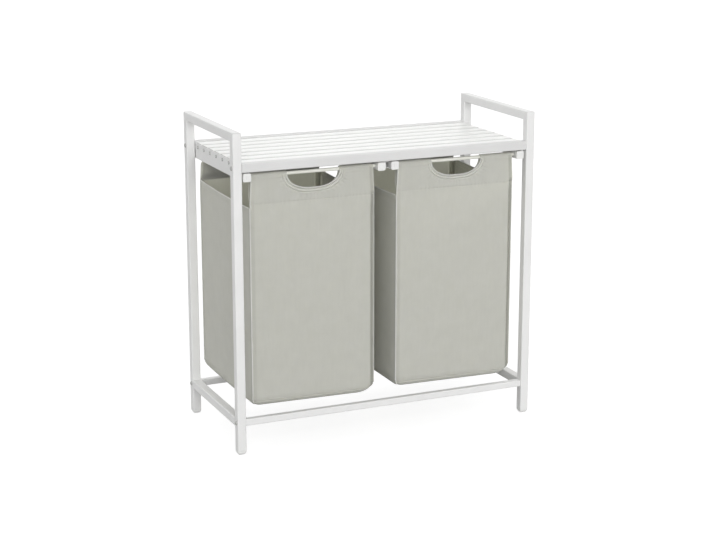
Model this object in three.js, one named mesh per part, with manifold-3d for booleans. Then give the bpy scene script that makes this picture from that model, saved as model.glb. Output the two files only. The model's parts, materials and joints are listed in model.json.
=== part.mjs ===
import * as THREE from "three";
import { mergeVertices } from "three/addons/utils/BufferGeometryUtils.js";
import Module from "manifold-3d";

// Laundry hamper: a white steel frame with a slatted shelf, and two fabric bins that pull out to
// the front. Each bin hangs by four moulded gliders in slide rails under the shelf.
// Sizes are in millimetres and +Z is up. The front faces -Y, and the origin lies on the floor
// under the middle of the frame.

// Frame, measured over its tubes
const frameWidth = 730;
const frameDepth = 330;
const frameHeight = 720;

// Gaps
const seatGap = 0.3; // between pieces that touch
const runGap = 0.6; // between a sliding piece and its guide
const overrun = 4; // how far a cutter passes the face that it opens

// Square steel tube of the posts, handle bars, side rails and shelf rails
const tubeSize = 20;
const tubeWall = 1.2;
const tubeCorner = 2.2;

// Lighter tube of the two crossbars, and the threaded plugs in the ends of the bolted tubes
const crossbarSize = 15;
const crossbarWall = 1.2;
const crossbarCorner = 1.8;
const endPlugLength = 16;

// Levels
const lowBarLevel = 73; // of the middle of the side rails and crossbars, above the floor
const handleRise = 67; // of the handle bars' top, above that of the shelf rails

// Button-head bolts that hold the side frames to the crossbars and shelf rails
const boltRadius = 3;
const boltReach = 12; // into the end plug
const boltHeadRadius = 5.2;
const boltHeadHeight = 2.2;
const boltHeadEdge = 0.8;
const boltSocketRadius = 2;
const boltSocketDepth = 1.3;

// Plastic feet pushed into the posts
const footHeight = 8.5;
const footTipWidth = 13;
const footPlugLength = 18;
const footPlugTaper = 0.8;
const footProfileShares = [
  [0, 0],
  [0.12, 0.3],
  [0.45, 0.72],
  [0.8, 1],
  [1, 1],
]; // share of the foot's height, and of its widening from tip to tube

// Shelf slats
const slatCount = 7;
const slatGap = 9.4;
const slatDrop = 2; // below the top of the shelf rails
const slatCorner = 3;

// Bent steel plates that carry the ends of the slats
const plateThickness = 2;
const plateHeight = 35;
const plateDrop = 3.5; // below the top of the shelf rails
const plateFlange = 20;
const plateBend = 4; // outer radius of the bends
const slatScrewRadius = 2;
const slatScrewReach = 28; // into the slat
const slatScrewHeadRadius = 3.8;
const slatScrewHeadHeight = 1.7;
const slatScrewHeadEdge = 0.6;

// Slide rails under the shelf
const railHeight = 19;
const railWidth = 9;
const railWall = 1.8;
const centreRailWidth = 28.6;
const centreRailWeb = 3;
const railBackSetback = 2.5; // from the back face of the frame
const railStopDrop = 3.6; // how far the front stop hangs into the channel
const railScrewRadius = 1.6;
const railScrewLength = 12;
const railScrewHeadRadius = 3;

// Bin frame: steel rods in plastic gliders
const rodRadius = 4; // of the front and back rods
const sideRodRadius = 3;
const rodChamfer = 0.7;
const rodSocketDepth = 7.5; // of the front and back rods
const rodEndGap = 3.5; // between an end of a side rod and the rod that crosses it
const gliderWidth = 10.4;
const gliderHeight = 18.5;
const gliderLength = 32;
const gliderCorner = 3;
const gliderTopGap = 2.5; // under the shelf rails
const gliderSetback = 5; // of the front gliders, from the front face of the frame
const headWidth = 18; // of the front gliders' heads, which cover the ends of the rails
const headRecessRadius = 4.6;
const headRecessDepth = 1;
const frontTongueLength = 30;
const backTongueLength = 60;
const tongueCornerShare = 0.35; // of the tongue's height

// Fabric bag
const fabric = 1.8; // coated cloth with its lining board
const bagSideGap = 10.7; // between a side of the bag and its slide rail
const bagFrontSetback = 16.5; // from the front face of the frame
const bagBackSetback = 7; // from the back face of the frame
const bagFloorGap = 14; // above the side rails
const bagCorner = 8;
const bagBottomEdge = 18;
const bagFlare = 8; // how far each side of a bag stands out at its back
const flareFade = 14; // height over which the flare dies out below the slide rails
const flareClearance = 3;
const hemHeight = 68;
const hemClosure = 22; // height over which the two plies of a hem come together
const hemEndGap = 4.2; // between an end of a hem and its glider
const sideDrop = 76; // from the rim of the front panel to that of the side panels
const sideBackRise = 9;
const sideSag = 2;
const notchWidth = 128;
const notchDepth = 39;
const notchCornerShare = 0.9; // of the notch's depth

// Counts of chords and steps
const cornerSteps = 2;
const holeSteps = 6;
const roundSteps = 6;
const hexagonSteps = 3;
const rodSteps = 12;
const screwSteps = 8;
const ringCornerSteps = 3;
const bagSideSteps = 6;
const bagEdgeSteps = 4;
const hemSteps = 4;
const rimSteps = 3;

// Faces and centres that the pieces share
const postX = (frameWidth - tubeSize) / 2;
const postY = (frameDepth - tubeSize) / 2;
const postInnerX = frameWidth / 2 - tubeSize;
const postInnerY = frameDepth / 2 - tubeSize;
const shelfLevel = frameHeight - handleRise; // top of the shelf rails
const shelfRailMiddle = shelfLevel - tubeSize / 2;
const shelfUnderside = shelfLevel - tubeSize;
const slatTop = shelfLevel - slatDrop;
const slatThickness = slatTop - shelfUnderside;
const slatMiddle = (slatTop + shelfUnderside) / 2;
const slatPitch = (2 * postInnerY) / slatCount;
const slatWidth = slatPitch - slatGap;
const plateInnerX = postInnerX - plateThickness;
const plateEndY = postInnerY - seatGap;
const railTop = shelfUnderside - seatGap;
const railBottom = railTop - railHeight;
const railFront = -postInnerY + seatGap;
const railBack = frameDepth / 2 - railBackSetback;
const railFaceX = plateInnerX - seatGap - railWidth;
const railChannel = railWidth - railWall;
const centreRailHalf = centreRailWidth / 2;
const railScrewX = railFaceX + railChannel / 2;
const centreScrewX = (centreRailHalf + centreRailWeb / 2) / 2;
const railScrewY = ((slatCount - 1) * slatPitch) / 2 - slatWidth / 4;
const binOffset = (railFaceX + centreRailHalf) / 2;
const bayHalf = (railFaceX - centreRailHalf) / 2;
const gliderTop = shelfUnderside - gliderTopGap;
const gliderBottom = gliderTop - gliderHeight;
const gliderFront = -frameDepth / 2 + gliderSetback;
const gliderBack = railBack - railWall - runGap;
const headBack = railFront - runGap;
const blockOuterX = bayHalf - runGap;
const blockInnerX = blockOuterX - gliderWidth;
const rodLevel = (gliderTop + gliderBottom) / 2;
const sleeveRadius = rodRadius + seatGap + fabric;
const bagHalf = bayHalf - bagSideGap;
const hemHalf = blockInnerX - hemEndGap;
const bagTop = rodLevel + sleeveRadius;
const bagBottom = lowBarLevel + tubeSize / 2 + bagFloorGap;
const bagFront = -frameDepth / 2 + bagFrontSetback;
const bagBack = frameDepth / 2 - bagBackSetback;
const sideRim = bagTop - sideDrop;
const flareEnd = railBottom - flareClearance;
const frontRodY = bagFront + sleeveRadius;
const backRodY = bagBack - sleeveRadius;
const sideRodX = (blockInnerX + blockOuterX) / 2;
const sideRodFront = frontRodY + rodRadius + rodEndGap;
const sideRodBack = backRodY - rodRadius - rodEndGap;

// Solids and geometries
const mergeDistance = 1e-4;
const wasm = await Module();
wasm.setup();

// A closed geometry as a solid that can be joined and cut
function solidOf(geometry) {
  const bare = geometry.clone();
  bare.deleteAttribute("normal");
  bare.deleteAttribute("uv");
  const merged = mergeVertices(bare, mergeDistance);
  return new wasm.Manifold(
    new wasm.Mesh({
      numProp: 3,
      vertProperties: new Float32Array(merged.attributes.position.array),
      triVerts: new Uint32Array(merged.index.array),
    }),
  );
}

function geometryOf(solid) {
  const mesh = solid.getMesh();
  const made = new THREE.BufferGeometry();
  const position = new THREE.BufferAttribute(new Float32Array(mesh.vertProperties), mesh.numProp);
  made.setAttribute("position", position);
  made.setIndex(new THREE.BufferAttribute(new Uint32Array(mesh.triVerts), 1));
  made.computeVertexNormals();
  return made;
}

// Bases that turn a drawing in the plane of a shape upright: along x it is drawn in Y and Z,
// along y in X and Z, and along z in X and Y.
const alongX = new THREE.Vector3(1, 0, 0);
const alongY = new THREE.Vector3(0, 1, 0);
const alongZ = new THREE.Vector3(0, 0, 1);
const turns = {
  x: new THREE.Matrix4().makeBasis(alongY, alongZ, alongX),
  y: new THREE.Matrix4().makeBasis(alongX, alongZ, alongY.clone().negate()),
  z: new THREE.Matrix4(),
};

// The solid that a shape sweeps from one place on an axis to another
function drawnOut(shape, axis, from, to, steps) {
  const made = new THREE.ExtrudeGeometry(shape, {
    depth: to - from,
    bevelEnabled: false,
    curveSegments: steps,
  });
  made.translate(0, 0, axis === "y" ? -to : from);
  made.applyMatrix4(turns[axis]);
  return solidOf(made);
}

function circle(radius, u, v) {
  return new THREE.Shape().absarc(u, v, radius, 0, 2 * Math.PI);
}

function rectangle(uLow, uHigh, vLow, vHigh) {
  return new THREE.Shape()
    .moveTo(uLow, vLow)
    .lineTo(uHigh, vLow)
    .lineTo(uHigh, vHigh)
    .lineTo(uLow, vHigh)
    .closePath();
}

function roundedRectangle(uLow, uHigh, vLow, vHigh, corner) {
  const quarter = Math.PI / 2;
  return new THREE.Shape()
    .moveTo(uLow + corner, vLow)
    .lineTo(uHigh - corner, vLow)
    .absarc(uHigh - corner, vLow + corner, corner, -quarter, 0)
    .lineTo(uHigh, vHigh - corner)
    .absarc(uHigh - corner, vHigh - corner, corner, 0, quarter)
    .lineTo(uLow + corner, vHigh)
    .absarc(uLow + corner, vHigh - corner, corner, quarter, 2 * quarter)
    .lineTo(uLow, vLow + corner)
    .absarc(uLow + corner, vLow + corner, corner, 2 * quarter, 3 * quarter);
}

function roundedSquare(size, corner) {
  return roundedRectangle(-size / 2, size / 2, -size / 2, size / 2, corner);
}

function polygon(points) {
  return new THREE.Shape(points.map(([u, v]) => new THREE.Vector2(u, v)));
}

// A turned piece: its profile gives radius and place along the axis, from one end to the other
function turned(profile, axis, steps) {
  const made = new THREE.LatheGeometry(
    profile.map(([radius, along]) => new THREE.Vector2(radius, along)),
    steps,
  );
  if (axis === "x") made.rotateZ(-Math.PI / 2);
  if (axis === "z") made.rotateX(Math.PI / 2);
  return solidOf(made);
}

// A closed body through rings of points that match one to one, flat at both ends
function lofted(rings) {
  const count = rings[0].points.length;
  const places = rings.flatMap((ring) => ring.points.flatMap(([x, y]) => [x, y, ring.z]));
  const faces = [];
  for (let level = 0; level < rings.length - 1; level++) {
    for (let i = 0; i < count; i++) {
      const a = level * count + i;
      const b = level * count + ((i + 1) % count);
      faces.push(a, b, b + count, a, b + count, a + count);
    }
  }
  const last = (rings.length - 1) * count;
  for (let i = 1; i < count - 1; i++) {
    faces.push(0, i + 1, i);
    faces.push(last, last + i, last + i + 1);
  }
  const made = new THREE.BufferGeometry();
  made.setAttribute("position", new THREE.Float32BufferAttribute(places, 3));
  made.setIndex(faces);
  return solidOf(made);
}

// Square tube along an axis, with its hollow running from one given place to another
function squareTube(axis, from, to, size, wall, corner, hollowFrom, hollowTo) {
  const bore = size - 2 * wall;
  const outside = drawnOut(roundedSquare(size, corner), axis, from, to, cornerSteps);
  const hollow = drawnOut(roundedSquare(bore, corner / 2), axis, hollowFrom, hollowTo, cornerSteps);
  return outside.subtract(hollow);
}

// Post with its foot end open, mitred at the top for the handle bar behind it
function postSolid() {
  const bottom = footHeight + seatGap;
  const half = tubeSize / 2;
  const tube = squareTube(
    "z", bottom, frameHeight, tubeSize, tubeWall, tubeCorner,
    bottom - overrun, frameHeight + overrun,
  );
  const mitre = polygon([
    [-half - overrun, frameHeight + overrun - seatGap],
    [half + overrun, frameHeight - tubeSize - overrun - seatGap],
    [half + overrun, frameHeight + overrun],
    [-half - overrun, frameHeight + overrun],
  ]);
  let post = tube.subtract(drawnOut(mitre, "x", -tubeSize, tubeSize, cornerSteps));
  for (const level of [lowBarLevel, shelfRailMiddle]) {
    const hole = circle(boltRadius + seatGap, 0, level);
    post = post.subtract(drawnOut(hole, "x", -tubeSize, tubeSize, holeSteps));
  }
  return post;
}

// Handle bar, mitred at both ends
function handleBarSolid() {
  const half = tubeSize / 2;
  const end = frameDepth / 2;
  let bar = squareTube(
    "y", -end, end, tubeSize, tubeWall, tubeCorner, -end - overrun, end + overrun,
  );
  for (const side of [-1, 1]) {
    const mitre = polygon([
      [side * (end + overrun), half + overrun],
      [side * (end + overrun), -half - overrun],
      [side * (end - tubeSize - overrun), -half - overrun],
    ]);
    bar = bar.subtract(drawnOut(mitre, "x", -tubeSize, tubeSize, cornerSteps));
  }
  return bar;
}

function sideRailSolid() {
  const end = postInnerY - seatGap;
  return squareTube(
    "y", -end, end, tubeSize, tubeWall, tubeCorner, -end - overrun, end + overrun,
  );
}

// Tube that is bolted between two posts, with a threaded plug in each end
function boltedTubeSolid(size, wall, corner) {
  const end = postInnerX - seatGap;
  const tube = squareTube(
    "x", -end, end, size, wall, corner, -end + endPlugLength, end - endPlugLength,
  );
  const thread = circle(boltRadius + seatGap, 0, 0);
  return tube.subtract(drawnOut(thread, "x", -end - overrun, end + overrun, holeSteps));
}

// Button-head bolt: its head stands out along +X from the origin
function boltSolid() {
  const shank = tubeSize + 2 * seatGap + boltReach;
  const body = turned(
    [
      [0, -shank],
      [boltRadius, -shank],
      [boltRadius, 0],
      [boltHeadRadius, 0],
      [boltHeadRadius, boltHeadEdge],
      [(boltHeadRadius + boltSocketRadius) / 2, boltHeadHeight],
      [0, boltHeadHeight],
    ],
    "x",
    rodSteps,
  );
  const socket = circle(boltSocketRadius, 0, 0);
  const bottom = boltHeadHeight - boltSocketDepth;
  return body.subtract(drawnOut(socket, "x", bottom, boltHeadHeight + overrun, hexagonSteps));
}

// One level of a foot: a square with round corners
function squareRing(z, half, corner) {
  const points = [];
  for (let quarter = 0; quarter < 4; quarter++) {
    const signX = quarter === 0 || quarter === 3 ? 1 : -1;
    const signY = quarter < 2 ? 1 : -1;
    for (let step = 0; step <= ringCornerSteps; step++) {
      const angle = ((quarter + step / ringCornerSteps) * Math.PI) / 2;
      points.push([
        signX * (half - corner) + corner * Math.cos(angle),
        signY * (half - corner) + corner * Math.sin(angle),
      ]);
    }
  }
  return { z, points };
}

// Foot: a cap that narrows to the floor, and a tapered plug inside the post
function footSolid() {
  const tipHalf = footTipWidth / 2;
  const widening = tubeSize / 2 - tipHalf;
  const cap = lofted(
    footProfileShares.map(([rise, spread]) =>
      squareRing(rise * footHeight, tipHalf + spread * widening, tubeCorner),
    ),
  );
  const plugHalf = tubeSize / 2 - tubeWall - seatGap;
  const plug = lofted([
    squareRing(footHeight / 2, plugHalf, tubeCorner / 2),
    squareRing(footHeight + footPlugLength / 2, plugHalf, tubeCorner / 2),
    squareRing(footHeight + footPlugLength, plugHalf - footPlugTaper, tubeCorner / 2),
  ]);
  return cap.add(plug);
}

// Countersunk rail screw with its head at the origin and its tip upwards, or the hole that it
// needs when a gap is given
function railScrewSolid(gap) {
  const below = gap > 0 ? overrun : 0;
  const cone = railScrewHeadRadius - railScrewRadius;
  return turned(
    [
      [0, -below],
      [railScrewHeadRadius + gap, -below],
      [railScrewHeadRadius + gap, 0],
      [railScrewRadius + gap, cone],
      [railScrewRadius + gap, railScrewLength + gap],
      [0, railScrewLength + gap],
    ],
    "z",
    screwSteps,
  );
}

// Where the screws of the slide rails go: two in each rail
const railScrews = [
  { name: "left_front", x: -railScrewX, y: -railScrewY },
  { name: "left_back", x: -railScrewX, y: railScrewY },
  { name: "centre_front", x: centreScrewX, y: -railScrewY },
  { name: "centre_back", x: -centreScrewX, y: railScrewY },
  { name: "right_front", x: railScrewX, y: -railScrewY },
  { name: "right_back", x: railScrewX, y: railScrewY },
];
const railScrewLevel = railTop - railWall;

// Slat centred on the origin, with a pilot hole in each end and those of the rail screws below
function slatSolid(slatY) {
  const end = plateInnerX - seatGap;
  const half = slatThickness / 2;
  const section = roundedRectangle(-slatWidth / 2, slatWidth / 2, -half, half, slatCorner);
  let slat = drawnOut(section, "x", -end, end, cornerSteps);
  const pilot = circle(slatScrewRadius + seatGap, 0, 0);
  const pilotEnd = end - slatScrewReach - seatGap;
  slat = slat.subtract(drawnOut(pilot, "x", pilotEnd, end + overrun, holeSteps));
  slat = slat.subtract(drawnOut(pilot, "x", -end - overrun, -pilotEnd, holeSteps));
  for (const screw of railScrews) {
    if (Math.abs(screw.y - slatY) < slatWidth / 2) {
      const hole = railScrewSolid(seatGap);
      const level = railScrewLevel - slatMiddle;
      slat = slat.subtract(hole.translate([screw.x, screw.y - slatY, level]));
    }
  }
  return slat;
}

function slatPlaceY(index) {
  return (index - (slatCount - 1) / 2) * slatPitch;
}

// Bent plate at the right end of the shelf, with the slat screws through it. Its two flanges lie
// on the shelf rails and stop above the slide rail.
function endPlateSolid() {
  const top = shelfLevel - plateDrop;
  const bottom = top - plateHeight;
  const flangeX = postInnerX - plateFlange;
  const innerBend = plateBend - plateThickness;
  const innerY = plateEndY - plateThickness;
  const quarter = Math.PI / 2;
  const section = new THREE.Shape()
    .moveTo(flangeX, -plateEndY)
    .lineTo(postInnerX - plateBend, -plateEndY)
    .absarc(postInnerX - plateBend, -plateEndY + plateBend, plateBend, -quarter, 0)
    .lineTo(postInnerX, plateEndY - plateBend)
    .absarc(postInnerX - plateBend, plateEndY - plateBend, plateBend, 0, quarter)
    .lineTo(flangeX, plateEndY)
    .lineTo(flangeX, innerY)
    .lineTo(plateInnerX - innerBend, innerY)
    .absarc(plateInnerX - innerBend, innerY - innerBend, innerBend, quarter, 0, true)
    .lineTo(plateInnerX, -innerY + innerBend)
    .absarc(plateInnerX - innerBend, -innerY + innerBend, innerBend, 0, -quarter, true)
    .lineTo(flangeX, -innerY);
  let plate = drawnOut(section, "z", bottom, top, cornerSteps);
  const relief = rectangle(
    flangeX - overrun, plateInnerX, -plateEndY - overrun, plateEndY + overrun,
  );
  const reliefTop = railTop + 2 * seatGap;
  plate = plate.subtract(drawnOut(relief, "z", bottom - overrun, reliefTop, cornerSteps));
  const shank = plateThickness + seatGap + slatScrewReach;
  for (let index = 0; index < slatCount; index++) {
    const screw = turned(
      [
        [0, -shank],
        [slatScrewRadius, -shank],
        [slatScrewRadius, 0],
        [slatScrewHeadRadius, 0],
        [slatScrewHeadRadius, slatScrewHeadEdge],
        [slatScrewHeadRadius / 2, slatScrewHeadHeight],
        [0, slatScrewHeadHeight],
      ],
      "x",
      screwSteps,
    );
    plate = plate.add(screw.translate([postInnerX, slatPlaceY(index), slatMiddle]));
  }
  return plate;
}

// Slide rail on the right: a channel open towards the bin, closed at the back, with a stop that
// hangs from its upper flange at the front. Its open face is at x = 0 and its foot at z = 0.
function outerRailSolid() {
  const width = railWidth;
  const height = railHeight;
  const wall = railWall;
  const section = polygon([
    [0, 0],
    [width, 0],
    [width, height],
    [0, height],
    [0, height - wall],
    [width - wall, height - wall],
    [width - wall, wall],
    [0, wall],
  ]);
  const channel = drawnOut(section, "y", railFront, railBack, cornerSteps);
  return channel.add(railEndSolid(0, width));
}

// Slide rail between the bins: one web with a channel on each side
function centreRailSolid() {
  const half = centreRailHalf;
  const web = centreRailWeb / 2;
  const height = railHeight;
  const wall = railWall;
  const section = polygon([
    [-half, 0],
    [half, 0],
    [half, wall],
    [web, wall],
    [web, height - wall],
    [half, height - wall],
    [half, height],
    [-half, height],
    [-half, height - wall],
    [-web, height - wall],
    [-web, wall],
    [-half, wall],
  ]);
  const channel = drawnOut(section, "y", railFront, railBack, cornerSteps);
  return channel.add(railEndSolid(-half, half));
}

// What closes a rail's back end and stops the bins at its front end
function railEndSolid(low, high) {
  const wholeEnd = rectangle(low, high, 0, railHeight);
  const stop = rectangle(low, high, railHeight - railWall - railStopDrop, railHeight);
  return drawnOut(wholeEnd, "y", railBack - railWall, railBack, cornerSteps).add(
    drawnOut(stop, "y", railFront, railFront + railWall, cornerSteps),
  );
}

// The screw holes of a rail whose origin is at the given place
function drilledRail(rail, originX, screws) {
  let drilled = rail;
  for (const screw of screws) {
    const hole = railScrewSolid(seatGap);
    const place = [screw.x - originX, screw.y, railScrewLevel - railBottom];
    drilled = drilled.subtract(hole.translate(place));
  }
  return drilled;
}

// Round rod along an axis, with chamfered ends
function rodSolid(axis, radius, from, to) {
  return turned(
    [
      [0, from],
      [radius - rodChamfer, from],
      [radius, from + rodChamfer],
      [radius, to - rodChamfer],
      [radius - rodChamfer, to],
      [0, to],
    ],
    axis,
    rodSteps,
  );
}

// Glider on the right of a bin, at its front or back: a block that holds two rods, and a tongue
// that runs in the rail. The front one has a head that covers the end of the rail. The back
// tongue is longer and taller, so that the rail's stop holds it.
function gliderSolid(end) {
  const atFront = end === "front";
  const blockLow = atFront ? gliderFront : gliderBack - gliderLength;
  const blockHigh = blockLow + gliderLength;
  const blockOutline = roundedRectangle(
    blockInnerX, blockOuterX, gliderBottom, gliderTop, gliderCorner,
  );
  const block = drawnOut(blockOutline, "y", blockLow, blockHigh, cornerSteps);
  const body = atFront ? block.add(gliderHeadSolid()) : block;

  const tongueBottom = railBottom + railWall + seatGap;
  const tongueTop = railTop - railWall - runGap - (atFront ? railStopDrop : 0);
  const tongueCorner = tongueCornerShare * (tongueTop - tongueBottom);
  const tongueLow = atFront ? headBack - tongueCorner : gliderBack - backTongueLength;
  const tongueHigh = atFront ? tongueLow + frontTongueLength : gliderBack;
  const tongueOutline = roundedRectangle(
    tongueLow, tongueHigh, tongueBottom, tongueTop, tongueCorner,
  );
  const tongueEnd = bayHalf + railChannel - runGap;
  const tongue = drawnOut(tongueOutline, "x", sideRodX, tongueEnd, cornerSteps);

  const rodY = atFront ? frontRodY : backRodY;
  const crossHole = circle(rodRadius + seatGap, rodY, rodLevel);
  const crossEnd = blockInnerX + rodSocketDepth;
  const sideHole = circle(sideRodRadius + seatGap, sideRodX, rodLevel);
  const sideLow = atFront ? sideRodFront - seatGap : Math.min(blockLow, tongueLow) - overrun;
  const sideHigh = atFront ? Math.max(blockHigh, tongueHigh) + overrun : sideRodBack + seatGap;
  return body
    .add(tongue)
    .subtract(drawnOut(crossHole, "x", blockInnerX - overrun, crossEnd, roundSteps))
    .subtract(drawnOut(sideHole, "y", sideLow, sideHigh, roundSteps));
}

// Head of a front glider, with a round recess in its face
function gliderHeadSolid() {
  const outerX = blockInnerX + headWidth;
  const outline = roundedRectangle(blockInnerX, outerX, gliderBottom, gliderTop, gliderCorner);
  const recess = circle(headRecessRadius, (blockInnerX + outerX) / 2, rodLevel);
  const recessEnd = gliderFront + headRecessDepth;
  return drawnOut(outline, "y", gliderFront, headBack, cornerSteps).subtract(
    drawnOut(recess, "y", gliderFront - overrun, recessEnd, roundSteps),
  );
}

// Half the width of a bag at a level: whole up to the side rims, and drawn in from there to the
// ends of the hems
function bagHalfAt(level) {
  const climbed = Math.min(1, Math.max(0, (level - sideRim) / (rodLevel - sideRim)));
  return bagHalf - climbed * (bagHalf - hemHalf);
}

// How far the sides of a bag stand out at a level, at a place between its front (0) and its
// back (1)
function flareAt(depthShare, level) {
  const fade = Math.min(1, Math.max(0, (flareEnd - level) / flareFade));
  return bagFlare * fade * Math.sin((depthShare * Math.PI) / 2);
}

// One level of the bag's wall: a rectangle with round corners, drawn in by an inset, whose sides
// flare towards the back
function bagRing(z, inset, wall) {
  const corner = bagCorner - wall;
  const halfX = bagHalfAt(z) - inset;
  const low = bagFront + inset;
  const high = bagBack - inset;
  const points = [];
  const add = (x, y) => {
    const share = (y - bagFront) / (bagBack - bagFront);
    points.push([x + Math.sign(x) * flareAt(share, z), y]);
  };
  const corners = [
    [halfX - corner, low + corner],
    [halfX - corner, high - corner],
    [-halfX + corner, high - corner],
    [-halfX + corner, low + corner],
  ];
  corners.forEach(([x, y], index) => {
    for (let step = 0; step <= ringCornerSteps; step++) {
      const angle = ((index - 1 + step / ringCornerSteps) * Math.PI) / 2;
      add(x + corner * Math.cos(angle), y + corner * Math.sin(angle));
    }
    const alongSide = index % 2 === 0;
    const sign = index === 0 ? 1 : -1;
    for (let step = 1; alongSide && step < bagSideSteps; step++) {
      const climb = (step / bagSideSteps) * (high - low - 2 * corner);
      add(sign * halfX, index === 0 ? low + corner + climb : high - corner - climb);
    }
  });
  return { z, points };
}

// The outer skin of a bag up to a level, or its hollow when a wall is given
function bagHull(wall, top) {
  const radius = bagBottomEdge - wall;
  const rings = [];
  for (let step = 0; step <= bagEdgeSteps; step++) {
    const angle = (step / bagEdgeSteps) * (Math.PI / 2);
    const z = bagBottom + wall + radius * (1 - Math.cos(angle));
    rings.push(bagRing(z, wall + radius * (1 - Math.sin(angle)), wall));
  }
  for (const z of [sideRim, flareEnd - flareFade, flareEnd, top]) {
    rings.push(bagRing(z, wall, wall));
  }
  return lofted(rings);
}

// Hem at a panel: round over its rod, and straight down on both sides to where its plies meet.
// Drawn in by an inset, it is the hollow between the plies.
function hemSolid(plane, inward, inset, reach) {
  const along = (distance) => plane + inward * distance;
  const radius = sleeveRadius - inset;
  const start = inward > 0 ? Math.PI : 0;
  const seam = bagTop - hemHeight;
  const low = seam + inset;
  const outline = new THREE.Shape()
    .moveTo(along(inset), low)
    .lineTo(along(inset), rodLevel)
    .absarc(along(sleeveRadius), rodLevel, radius, start, Math.PI - start, inward > 0)
    .lineTo(along(2 * sleeveRadius - inset), seam + hemClosure)
    .lineTo(along(2 * fabric - inset), low);
  return drawnOut(outline, "x", -reach, reach, hemSteps);
}

// Handhold cut into the front hem
function notchSolid() {
  const half = notchWidth / 2;
  const bottom = bagTop - notchDepth;
  const corner = notchCornerShare * notchDepth;
  const quarter = Math.PI / 2;
  const outline = new THREE.Shape()
    .moveTo(-half, bagTop + overrun)
    .lineTo(-half, bottom + corner)
    .absarc(-half + corner, bottom + corner, corner, 2 * quarter, 3 * quarter)
    .lineTo(half - corner, bottom)
    .absarc(half - corner, bottom + corner, corner, -quarter, 0)
    .lineTo(half, bagTop + overrun)
    .closePath();
  const innerY = bagFront + 2 * sleeveRadius + overrun;
  return drawnOut(outline, "y", bagFront - overrun, innerY, bagEdgeSteps);
}

// Bag: front and back panels with their hems, side panels with lower rims, and a bottom
function bagSolid() {
  const reach = bagHalf + bagFlare + overrun;
  const cutFront = bagFront + 2 * fabric;
  const cutBack = bagBack - 2 * fabric;
  const aboveRims = new THREE.Shape()
    .moveTo(cutFront, sideRim)
    .quadraticCurveTo(
      (cutFront + cutBack) / 2, sideRim + sideBackRise / 2 - 2 * sideSag,
      cutBack, sideRim + sideBackRise,
    )
    .lineTo(cutBack, bagTop + overrun)
    .lineTo(cutFront, bagTop + overrun)
    .closePath();
  const walls = bagHull(0, rodLevel).subtract(bagHull(fabric, rodLevel + overrun));
  const hems = hemSolid(bagFront, 1, 0, reach).add(hemSolid(bagBack, -1, 0, reach));
  return walls
    .subtract(drawnOut(aboveRims, "x", -reach, reach, rimSteps))
    .add(hems.intersect(bagHull(0, bagTop + overrun)))
    .subtract(hemSolid(bagFront, 1, fabric, reach + overrun))
    .subtract(hemSolid(bagBack, -1, fabric, reach + overrun))
    .subtract(notchSolid());
}

// Finishes
const finishes = {
  frame: { color: 0xe9e9e7, roughness: 0.42, metalness: 0.1 },
  slat: { color: 0xeeeeec, roughness: 0.5, metalness: 0 },
  plastic: { color: 0xf0f0ee, roughness: 0.45, metalness: 0 },
  screw: { color: 0xb9bab8, roughness: 0.35, metalness: 0.9 },
  rod: { color: 0xe6e6e2, roughness: 0.4, metalness: 0.1 },
  cloth: { color: 0xbbbcb2, roughness: 0.95, metalness: 0 },
};

// A named mesh of a solid in a group, at its place
function place(group, name, solid, finish, x, y, z) {
  const material = new THREE.MeshStandardMaterial(finishes[finish]);
  const mesh = new THREE.Mesh(geometryOf(solid), material);
  mesh.name = name;
  mesh.position.set(x, y, z);
  group.add(mesh);
  return mesh;
}

const sides = [
  { name: "left", sign: -1 },
  { name: "right", sign: 1 },
];
const ends = [
  { name: "front", sign: -1 },
  { name: "back", sign: 1 },
];

const hamper = new THREE.Group();

function addSideFrames(group) {
  for (const side of sides) {
    for (const end of ends) {
      const corner = `${end.name}_${side.name}`;
      const x = side.sign * postX;
      const y = end.sign * postY;
      const post = place(group, `post_${corner}`, postSolid(), "frame", x, y, 0);
      post.rotation.z = end.name === "back" ? Math.PI : 0;
      place(group, `foot_${corner}`, footSolid(), "plastic", x, y, 0);
      for (const [row, level] of Object.entries({ low: lowBarLevel, high: shelfRailMiddle })) {
        const headX = side.sign * (frameWidth / 2 + seatGap);
        const name = `bolt_${row}_${corner}`;
        const bolt = place(group, name, boltSolid(), "screw", headX, y, level);
        bolt.rotation.z = side.name === "left" ? Math.PI : 0;
      }
    }
    const x = side.sign * postX;
    const handleLevel = frameHeight - tubeSize / 2;
    place(group, `handle_bar_${side.name}`, handleBarSolid(), "frame", x, 0, handleLevel);
    place(group, `side_rail_${side.name}`, sideRailSolid(), "frame", x, 0, lowBarLevel);
  }
}

function addCrossTubes(group) {
  for (const end of ends) {
    const y = end.sign * postY;
    const crossbar = boltedTubeSolid(crossbarSize, crossbarWall, crossbarCorner);
    place(group, `crossbar_${end.name}`, crossbar, "frame", 0, y, lowBarLevel);
    const shelfRail = boltedTubeSolid(tubeSize, tubeWall, tubeCorner);
    place(group, `shelf_rail_${end.name}`, shelfRail, "frame", 0, y, shelfRailMiddle);
  }
}

function addShelf(group) {
  for (const side of sides) {
    const plate = place(group, `end_plate_${side.name}`, endPlateSolid(), "frame", 0, 0, 0);
    plate.scale.x = side.sign;
  }
  for (let index = 0; index < slatCount; index++) {
    const y = slatPlaceY(index);
    place(group, `slat_${index + 1}`, slatSolid(y), "slat", 0, y, slatMiddle);
  }
}

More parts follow.
